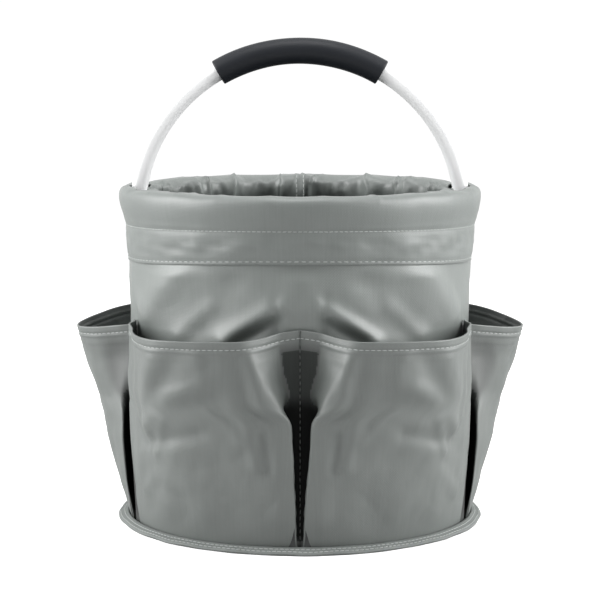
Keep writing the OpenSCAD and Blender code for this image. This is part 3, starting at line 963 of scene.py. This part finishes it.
side_strokes = [
    (40, 120, 52, 60, 9, 1.4), (70, 118, 96, 70, 8, -0.7), (104, 126, 92, 88, 7, 0.4), (120, 100, 148, 60, 7, 0.7),
    (150, 110, 140, 60, 8, -1.0), (60, 50, 84, 24, 8, 1.0), (108, 70, 96, 40, 6, 0.3),
]
back_strokes = [
    (60, 124, 84, 78, 8, 1.8), (92, 112, 78, 70, 6, -1.4), (134, 122, 112, 76, 8, 1.8), (104, 70, 98, 30, 9, 1.0),
    (142, 84, 152, 40, 7, -1.2), (48, 90, 44, 44, 8, 1.2),
]
front_droop = ([0, 0.06, 0.2, 0.5, 0.8, 0.9, 1], [141.5, 141.0, 140.4, 139.6, 140.8, 143.2, 146.0])
side_droop = ([0, 0.1, 0.25, 0.5, 0.75, 0.85, 1], [142.0, 141.5, 139.2, 133.6, 133.0, 134.8, 138.6])
back_droop = ([0, 0.1, 0.3, 0.7, 0.9, 1], [143.0, 142.0, 140.0, 140.0, 142.0, 143.0])
WIDTH = 193.0
SIDE_WIDTH = 203.0


def flipped(lip):
    return [(POCKET_STEP - a, n) for a, n in reversed(lip)]


def flip_strokes(strokes, width):
    """The strokes of the mirror-image pocket; the far width stays on the same side of the fold."""
    return [(width - s[0], s[1], width - s[2], s[3], s[4], s[5]) for s in strokes]


def flip_droop(droop):
    return [1 - x for x in reversed(droop[0])], list(reversed(droop[1]))


left = {
    "front": (-72.0, front_lip, (TIGHT, OPEN), front_droop, WIDTH, front_strokes, 31),
    "side": (-144.0, side_lip, (OPEN, VALLEY), side_droop, SIDE_WIDTH, side_strokes, 32),
}
pocket_grids = {}
for where, (seam, lip, pleats, droop, width, strokes, seed) in left.items():
    pocket_grids[f"pocket_{where}_left"] = pocket_points(seam, lip, pleats, droop, width, strokes, seed), width
    other = (OVER, TIGHT) if where == "front" else (VALLEY, OPEN)
    grid = pocket_points(
        -seam - POCKET_STEP, flipped(lip), other, flip_droop(droop), width, flip_strokes(strokes, width), seed + 7
    )
    pocket_grids[f"pocket_{where}_right"] = grid, width
pocket_grids["pocket_back"] = pocket_points(144.0, back_lip, (OPEN, OPEN), back_droop, WIDTH, back_strokes, 40), WIDTH
print("pockets drawn:", list(pocket_grids))

# %% The pockets' cloth, with painted shade inside the pleats: a darker, duller cloth
for node, ((grid, inside), width) in pocket_grids.items():
    cut = np.linalg.norm(np.diff(grid, axis=1), axis=2).sum(axis=1)
    piece = cloth_mesh(node + "_cloth", grid, [pocket_cloth, cloth_back, shaded_pleat_cloth, cloth_back])
    # Painted shade: faces deep in a pleat take the darker, duller pleat cloth, and every point keeps its fold mark
    deep = inside[:-1, :-1] + inside[1:, :-1] + inside[:-1, 1:] + inside[1:, 1:] > PLEAT_SHADE_LIMIT
    piece.data.polygons.foreach_set("material_index", np.where(deep, 2, 0).astype(np.int32).reshape(-1))
    paint_fold_shade(piece, inside)
    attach(piece, "bag")
    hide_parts(node)
    print(f"{node}: cloth {cut[0]:.0f} mm across at the foot, {cut[len(cut) // 2]:.0f} midway, {cut[-1]:.0f} at the lip")

# %% [markdown]
# ## The seam tape
# The wall's one upright seam is covered inside by a narrow tape that runs from the base to the top of the channel.
# It follows the wall and then the gathered channel, so its path is taken from their own grids at the back.

# %% Tape over the back seam
def tape_path():
    """Points up the inside at the back: the wall's inner face, then the channel's inner face up to the rim."""
    z = np.linspace(6.5, 183, 40)
    wall_part = np.stack([wall_radius(z) - CLOTH_T - 0.35, z], axis=1)
    back = band_grid[:, 0]
    r, bz = np.hypot(back[:, 0], back[:, 1]), back[:, 2]
    top = int(np.argmax(bz))
    channel = np.stack([r[top:], bz[top:]], axis=1)[::-1]
    channel[:, 0] -= 0.5
    channel = channel[channel[:, 1] > 186]
    path = np.concatenate([wall_part, channel])
    return resampled(path, np.linspace(0, length_along(path)[-1], 130))


TAPE_HALF = 3.2
tape_run = tape_path()
across = np.linspace(-TAPE_HALF, TAPE_HALF, 9)
tape_grid = np.array([
    [(x, r - 0.25 * math.cos(x / TAPE_HALF * math.pi / 2), z) for x in across] for r, z in tape_run
])
tape = cloth_mesh("back_seam_tape", tape_grid, [tape_cloth], thickness=0.8)
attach(tape, "bag")
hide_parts("back_seam_binding")
print(f"tape: {len(tape_run)} rows")

# %% [markdown]
# ## The stitches
# Every seam on the bucket is a row of the same short stitches. That is work for Geometry Nodes: one small tree
# takes a seam as a curve, spaces points along it, turns a slim bead of thread along the curve at each and gives
# every bead a slight turn of its own, with a fixed seed. The seams' paths come from the cloth grids, so each row
# lies on its own cloth. Each result is made a plain mesh. The thread is light, except on the pockets' side seams,
# which lie deep in the pleats: there a darker copy of the thread is painted shade.

# %% The stitch tree
def stitch_tree():
    tree = bpy.data.node_groups.new("row_of_stitches", "GeometryNodeTree")
    face = tree.interface
    face.new_socket("Seam", in_out="INPUT", socket_type="NodeSocketGeometry")
    sizes = {"Pitch": 0.0036, "Stitch Length": 0.0028, "Thread Radius": 0.0003, "Unevenness": 0.05}
    for label, value in sizes.items():
        socket = face.new_socket(label, in_out="INPUT", socket_type="NodeSocketFloat")
        socket.default_value = value
    face.new_socket("Thread", in_out="INPUT", socket_type="NodeSocketMaterial")
    face.new_socket("Stitches", in_out="OUTPUT", socket_type="NodeSocketGeometry")
    given, out = tree.nodes.new("NodeGroupInput"), tree.nodes.new("NodeGroupOutput")
    points = add(
        tree, "GeometryNodeResampleCurve", {"Curve": given.outputs["Seam"], "Length": given.outputs["Pitch"]},
        mode="LENGTH",
    )
    bead = add(tree, "GeometryNodeMeshUVSphere", {"Segments": 7, "Rings": 5, "Radius": 1.0})
    thin, half = given.outputs["Thread Radius"], maths(tree, "MULTIPLY", given.outputs["Stitch Length"], 0.5)
    size = add(tree, "ShaderNodeCombineXYZ", {0: thin, 1: thin, 2: half})
    slim = add(tree, "GeometryNodeTransform", {"Geometry": bead.outputs["Mesh"], "Scale": size.outputs[0]})
    tangent = add(tree, "GeometryNodeInputTangent")
    wobble = add(tree, "FunctionNodeRandomValue", {"Seed": 11}, data_type="FLOAT_VECTOR")
    for end, corner in enumerate(((-1, -1, -1), (1, 1, 1))):
        tree.links.new(scaled(tree, corner, given.outputs["Unevenness"]), wobble.inputs[end])
    aim = add(tree, "ShaderNodeVectorMath", {0: tangent.outputs[0], 1: wobble.outputs[0]}, operation="ADD")
    turn_it = add(tree, "FunctionNodeAlignRotationToVector", {"Vector": aim.outputs[0]}, axis="Z")
    placed = add(
        tree, "GeometryNodeInstanceOnPoints",
        {"Points": points.outputs[0], "Instance": slim.outputs[0], "Rotation": turn_it.outputs[0]},
    )
    real = add(tree, "GeometryNodeRealizeInstances", {0: placed.outputs[0]})
    smooth = add(tree, "GeometryNodeSetShadeSmooth", {0: real.outputs[0]})
    painted = add(tree, "GeometryNodeSetMaterial", {"Geometry": smooth.outputs[0], "Material": given.outputs["Thread"]})
    tree.links.new(painted.outputs[0], out.inputs["Stitches"])
    return tree


stitches = stitch_tree()


def plain_mesh(piece, name):
    """Turns a piece's modifiers into a plain mesh on a new object, and removes the old one."""
    shown = piece.evaluated_get(bpy.context.evaluated_depsgraph_get())
    mesh = bpy.data.meshes.new_from_object(shown)
    mesh.name = name
    bpy.data.objects.remove(piece)
    return put(name, mesh)


def sew(name, runs, pitch, length, radius=0.00028, uneven=0.06, yarn=thread):
    """Rows of stitches along runs of points in millimetres; a run that ends where it starts is a closed seam."""
    curve = bpy.data.curves.new(name + "_seam", "CURVE")
    curve.dimensions = "3D"
    for points in runs:
        closed = np.linalg.norm(points[0] - points[-1]) < 3
        spline = curve.splines.new("POLY")
        spline.points.add(len(points) - 1)
        flat = np.concatenate([np.asarray(points) / 1000, np.ones((len(points), 1))], axis=1)
        spline.points.foreach_set("co", flat.reshape(-1))
        spline.use_cyclic_u = bool(closed)
    seam = put(name + "_seam", curve)
    work = seam.modifiers.new("stitches", "NODES")
    work.node_group = stitches
    values = {"Pitch": pitch, "Stitch Length": length, "Thread Radius": radius, "Unevenness": uneven, "Thread": yarn}
    for item in stitches.interface.items_tree:
        if item.item_type == "SOCKET" and item.in_out == "INPUT" and item.name in values:
            work[item.identifier] = values[item.name]
    made = plain_mesh(seam, name)
    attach(made, "bag")
    print(f"{name}: {len(made.data.polygons)} faces in {len(runs)} row(s)")

# %% Rows on the band
def on_band(levels, lift=0.1):
    """A run of points on the band's face at the given heights, column by column, lifted off the cloth."""
    normal = normals_of(band_grid, closed=True)
    run = []
    for i, target in enumerate(levels):
        z = band_grid[:channel_start, i, 2]
        j = max(int(np.argmax(z >= target)), 1)
        s = (target - z[j - 1]) / (z[j] - z[j - 1] + 1e-9)
        here = band_grid[j - 1, i] * (1 - s) + band_grid[j, i] * s
        run.append(here + normal[j, i] * lift)
    return np.array(run)


sew("band_upper_stitches", [on_band(upper_row(turn))], 0.0033, 0.0029)
sew("band_lower_stitches", [on_band(lower_row(turn))], 0.0046, 0.0031)

# %% Rows on the pockets and the brim
hem_runs, seam_runs = [], []
for (grid, _), _ in pocket_grids.values():
    normal = normals_of(grid)
    rise = np.linalg.norm(np.diff(grid[:, COLUMNS // 2], axis=0), axis=1)
    below = np.concatenate([np.cumsum(rise[::-1])[::-1], [0]])
    j = int(np.argmin(np.abs(below - LIP_STITCH)))
    hem_runs.append(grid[j, 1:-1] + normal[j, 1:-1] * 0.12)
    seam_runs.append(grid[2:-1, 0] + normal[2:-1, 1] * 0.25)
sew("pocket_hem_stitches", hem_runs, 0.0036, 0.0029)
# The side seams lie deep in the pleats, so their thread is the darker copy, painted shade
sew("pocket_seam_stitches", seam_runs, 0.0042, 0.003, yarn=shaded_seam_thread)
sew("brim_stitches", [brim_grid[row] + np.array([0, 0, 0.12]) for row in (2, 4)], 0.0034, 0.0029)
sew("tape_stitches", [tape_grid[2:-2, c] + np.array([0, -0.1, 0]) for c in (1, 7)], 0.0038, 0.003, 0.00024)

# %% [markdown]
# ## The handle
# The plugs, the hoop, the washers and the rivets are machined shapes, so they stay as the model made them and only get
# their finishes. The tube was bent from a drawn section with soft corners. It is made again on the model's own arc
# as a run of rings, outside and then back along the inside, so that its highlight is smooth, and the rivets' bores
# are cut through its feet with a Boolean. The grip is a sleeve of closed-cell foam pushed over the tube before it was
# bent. It is skinned smooth, cut square at its ends and a little fuller between them.

# %% Finishes for metal and plastic
def metal(name, colour, roughness, grain=0.1, grain_scale=(40, 40, 900), metallic=1.0):
    """A drawn or milled metal: fine lines in the roughness and a faint unevenness in the tone."""
    material, tree, shader = new_material(name)
    place = add(tree, "ShaderNodeTexCoord").outputs["Object"]
    along = add(tree, "ShaderNodeMapping", {"Vector": place, "Scale": grain_scale}).outputs[0]
    lines = between(tree, noise(tree, along, 1.0, 3.0), roughness - grain, roughness + grain)
    tree.links.new(lines, shader.inputs["Roughness"])
    shade = between(tree, noise(tree, place, 30.0, 3.0), 0.96, 1.03)
    tree.links.new(scaled(tree, colour, shade), shader.inputs["Base Color"])
    shader.inputs["Metallic"].default_value = metallic
    return material


def moulded(name, colour, roughness, pimple=900.0, bump=0.12, gloss=0.5):
    """Moulded plastic or foam skin: a fine pimple in the bump and a slow change in the gloss."""
    material, tree, shader = new_material(name)
    place = add(tree, "ShaderNodeTexCoord").outputs["Object"]
    raise_surface(tree, shader, noise(tree, place, pimple, 3.0), bump, 0.0002)
    slow = noise(tree, place, 45.0, 4.0)
    tree.links.new(between(tree, slow, roughness - 0.07, roughness + 0.07), shader.inputs["Roughness"])
    tree.links.new(scaled(tree, colour, between(tree, slow, 0.85, 1.15)), shader.inputs["Base Color"])
    shader.inputs["Specular IOR Level"].default_value = gloss
    return material


# The tube is anodised and lightly coated, so it takes the light as a pale paint does and not as bare metal
tube_finish = metal("satin_aluminium_tube", (0.93, 0.935, 0.94), 0.3, 0.03, (25, 25, 25), 0.0)
bar_finish = metal("milled_aluminium_bar", (0.72, 0.73, 0.74), 0.36, 0.1, (900, 900, 60))
rivet_finish = metal("tumbled_rivets", (0.78, 0.78, 0.78), 0.32, 0.08, (300, 300, 300))
foam = moulded("black_foam_skin", (0.009, 0.011, 0.015), 0.5, 1400.0, 0.25, 0.35)
dark_nylon = moulded("dark_nylon", (0.02, 0.02, 0.022), 0.45)
board_finish = moulded("grey_stiffening_board", (0.03, 0.03, 0.03), 0.55, 400.0, 0.2)

# %% Finishes on the rigid parts
FINISHES = {
    "rim_hoop": bar_finish, "hoop_joiner": bar_finish, "hoop_joiner_rivets": rivet_finish,
    "pivot_rivet_left": rivet_finish, "pivot_rivet_right": rivet_finish, "pivot_washer_left": dark_nylon,
    "pivot_washer_right": dark_nylon, "tube_plug_left": dark_nylon, "tube_plug_right": dark_nylon,
    "base_board": board_finish,
}
for node, finish in FINISHES.items():
    slots = nodes[node].data.materials
    slots.clear()
    slots.append(finish)
print("finished parts:", len(FINISHES))

# %% The handle's tube
ARC_R = 112.0    # radius of the handle's arc
ARC_Z = 210.0    # height of its centre
TUBE_W, TUBE_D, CORNER, TUBE_T = 11, 10, 4.7, 1.2    # the tube's width, depth, corner radius and wall
BORE_R, PIVOT_Z = 0.0026, 0.22                       # the rivets' bore and its height, in metres


def on_arc(place, out, side):
    """Points beside the handle's arc: place in degrees from its left foot, out from the arc and sideways in mm."""
    a = np.radians(place)
    r = ARC_R + out
    return np.stack([-r * np.cos(a), side, ARC_Z + r * np.sin(a)], axis=-1)


def tube_ring(place, width, depth, corner):
    """The tube's section at one place: a rectangle with round corners."""
    ring = []
    for quarter, (x, y) in enumerate(((1, 1), (-1, 1), (-1, -1), (1, -1))):
        a = np.radians(90 * quarter + np.linspace(0, 90, 9))
        out = x * (width / 2 - corner) + corner * np.cos(a)
        side = y * (depth / 2 - corner) + corner * np.sin(a)
        ring.append(np.stack([out, side], axis=1))
    ring = np.concatenate(ring)
    return on_arc(np.full(len(ring), place), ring[:, 0], ring[:, 1])


def tube_piece():
    """A hollow bent tube with a bore through each foot for the pivot rivets."""
    places = np.linspace(0.8, 179.2, 140)
    rings = [tube_ring(a, TUBE_W, TUBE_D, CORNER) for a in places]
    rings += [tube_ring(a, TUBE_W - 2 * TUBE_T, TUBE_D - 2 * TUBE_T, CORNER - TUBE_T) for a in places[::-1]]
    piece = cloth_mesh("bent_tube", np.array(rings + rings[:1]), [tube_finish], thickness=None, closed=True)
    weld(piece)
    bpy.ops.mesh.primitive_cylinder_add(
        vertices=32, radius=BORE_R, depth=0.3, location=(0, 0, PIVOT_Z), rotation=(0, math.pi / 2, 0)
    )
    drill = bpy.context.object
    bore = piece.modifiers.new("bore", "BOOLEAN")
    bore.operation, bore.object, bore.solver = "DIFFERENCE", drill, "EXACT"
    finished = bpy.data.meshes.new_from_object(piece.evaluated_get(bpy.context.evaluated_depsgraph_get()))
    piece.modifiers.clear()
    piece.data = finished
    finished.materials.clear()
    finished.materials.append(tube_finish)
    for face in finished.polygons:
        face.material_index = 0
    bpy.data.objects.remove(drill)
    return piece


tube = tube_piece()
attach(tube, "handle")
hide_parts("handle_tube")
print("tube:", len(tube.data.polygons), "faces")

# %% The foam grip
GRIP_HALF = 30.0    # degrees that the sleeve reaches each way from the crown
GRIP_BORE = 5.8     # radius of its bore


def grip_points():
    """Rings round the handle's arc: up the cut end, along the sleeve, down the other end and back along the bore."""
    grip_low, grip_high = mm_box("handle_grip")
    thick = (grip_high[1] - grip_low[1]) / 2
    arc_z = grip_high[2] - thick - ARC_R
    section = [(-GRIP_HALF, r) for r in (GRIP_BORE, 7.0, 8.0)]
    section += [(-GRIP_HALF + 0.5 * (1 - math.cos(a)), thick - 0.8 + 0.8 * math.sin(a)) for a in (0.2, 0.6, 1.0, 1.4)]
    section += [(x, thick + 0.06 * math.sin(math.radians((x + GRIP_HALF) * 11))) for x in np.linspace(-29, 29, 60)]
    section += [(-x, r) for x, r in reversed(section[:7])]
    section += [(x, GRIP_BORE) for x in np.linspace(29.5, -29.5, 12)]
    rings = []
    around_tube = np.linspace(0, 2 * math.pi, 56, endpoint=False)
    for place, r in section:
        a = math.radians(place)
        centre = np.array([ARC_R * math.sin(a), 0, arc_z + ARC_R * math.cos(a)])
        out, side = np.array([math.sin(a), 0, math.cos(a)]), np.array([0, 1.0, 0])
        seam = 1 - 0.035 * bell(around_tube - math.pi, 0.09) * (r > 8)
        circle = np.cos(around_tube)[:, None] * out + np.sin(around_tube)[:, None] * side
        rings.append(centre + (r * seam)[:, None] * circle)
    rings.append(rings[0])
    return np.array(rings)


grip_grid = grip_points()
grip = cloth_mesh("foam_grip", grip_grid, [foam], thickness=None, closed=True)
weld(grip)
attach(grip, "handle")
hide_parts("handle_grip")
print("grip:", len(grip.data.polygons), "faces")
